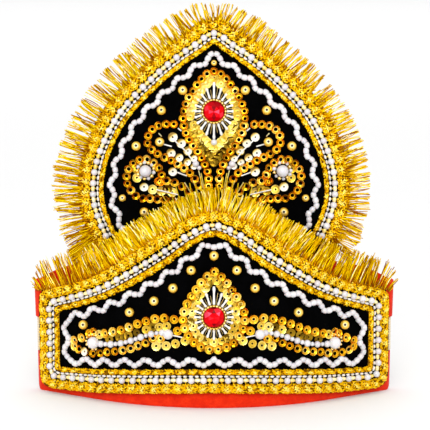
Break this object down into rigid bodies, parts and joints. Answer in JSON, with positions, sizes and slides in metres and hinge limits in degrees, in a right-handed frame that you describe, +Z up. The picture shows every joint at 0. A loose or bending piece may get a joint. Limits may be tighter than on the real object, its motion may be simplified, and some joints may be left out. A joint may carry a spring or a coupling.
{
  "type": "costume crown",
  "caption": "Dance crown with a curved velvet front panel and a tall pointed crest, both edged with gold braid, pearls and tinsel fringe, worn on a felt band with an elastic back.",
  "frame": {"origin": "middle of the crown's outline on the floor it stands on", "axes": "+Z up, the front of the crown faces -Y, +X to the right of someone who looks at the front"},
  "size_m": [0.1878, 0.1416, 0.1992],
  "materials": {
    "felt": "pressed orange-red felt",
    "velvet": "black velvet",
    "elastic": "cream woven elastic",
    "tinsel": "metallised gold film, braided or cut to fringe",
    "gold": "metallised gold plastic",
    "sequin": "metallised gold sequins",
    "pearl": "pearl lacquer",
    "stone": "red faceted acrylic, foiled"
  },
  "bodies": {
    "root": {"headband": "felt", "elastic_strap": "elastic", "front_panel": "velvet", "front_braid_outer": "tinsel", "front_pearl_row": "pearl", "front_braid_inner": "tinsel", "front_fringe": "tinsel", "front_pearl_wave": "pearl", "crest_panel": "velvet", "crest_braid_outer": "tinsel", "crest_pearl_row": "pearl", "crest_braid_inner": "tinsel", "crest_fringe": "tinsel", "crest_pearl_wave": "pearl", "front_medallion": "sequin", "crest_medallion": "sequin", "front_scroll_right": "sequin", "front_scroll_left": "sequin", "crest_scroll_upper_right": "sequin", "crest_scroll_upper_left": "sequin", "crest_scroll_lower_right": "sequin", "crest_scroll_lower_left": "sequin", "front_stone": "stone", "front_setting": "gold", "crest_stone": "stone", "crest_setting": "gold", "front_gold_bead_1": "gold", "front_gold_bead_2": "gold", "front_gold_bead_3": "gold", "front_gold_bead_4": "gold", "front_gold_bead_5": "gold", "front_gold_bead_6": "gold", "front_gold_bead_7": "gold", "front_gold_bead_8": "gold", "front_gold_bead_9": "gold", "front_gold_bead_10": "gold", "front_gold_bead_11": "gold", "crest_gold_bead_1": "gold", "crest_gold_bead_2": "gold", "crest_gold_bead_3": "gold", "crest_gold_bead_4": "gold", "crest_gold_bead_5": "gold", "crest_gold_bead_6": "gold", "crest_gold_bead_7": "gold", "crest_gold_bead_8": "gold", "crest_gold_bead_9": "gold", "crest_gold_bead_10": "gold", "crest_gold_bead_11": "gold", "crest_gold_bead_12": "gold", "crest_gold_bead_13": "gold", "front_pearl_1": "pearl", "front_pearl_2": "pearl", "front_pearl_3": "pearl", "front_pearl_4": "pearl", "crest_pearl_1": "pearl", "crest_pearl_2": "pearl"}
  },
  "joints": []
}
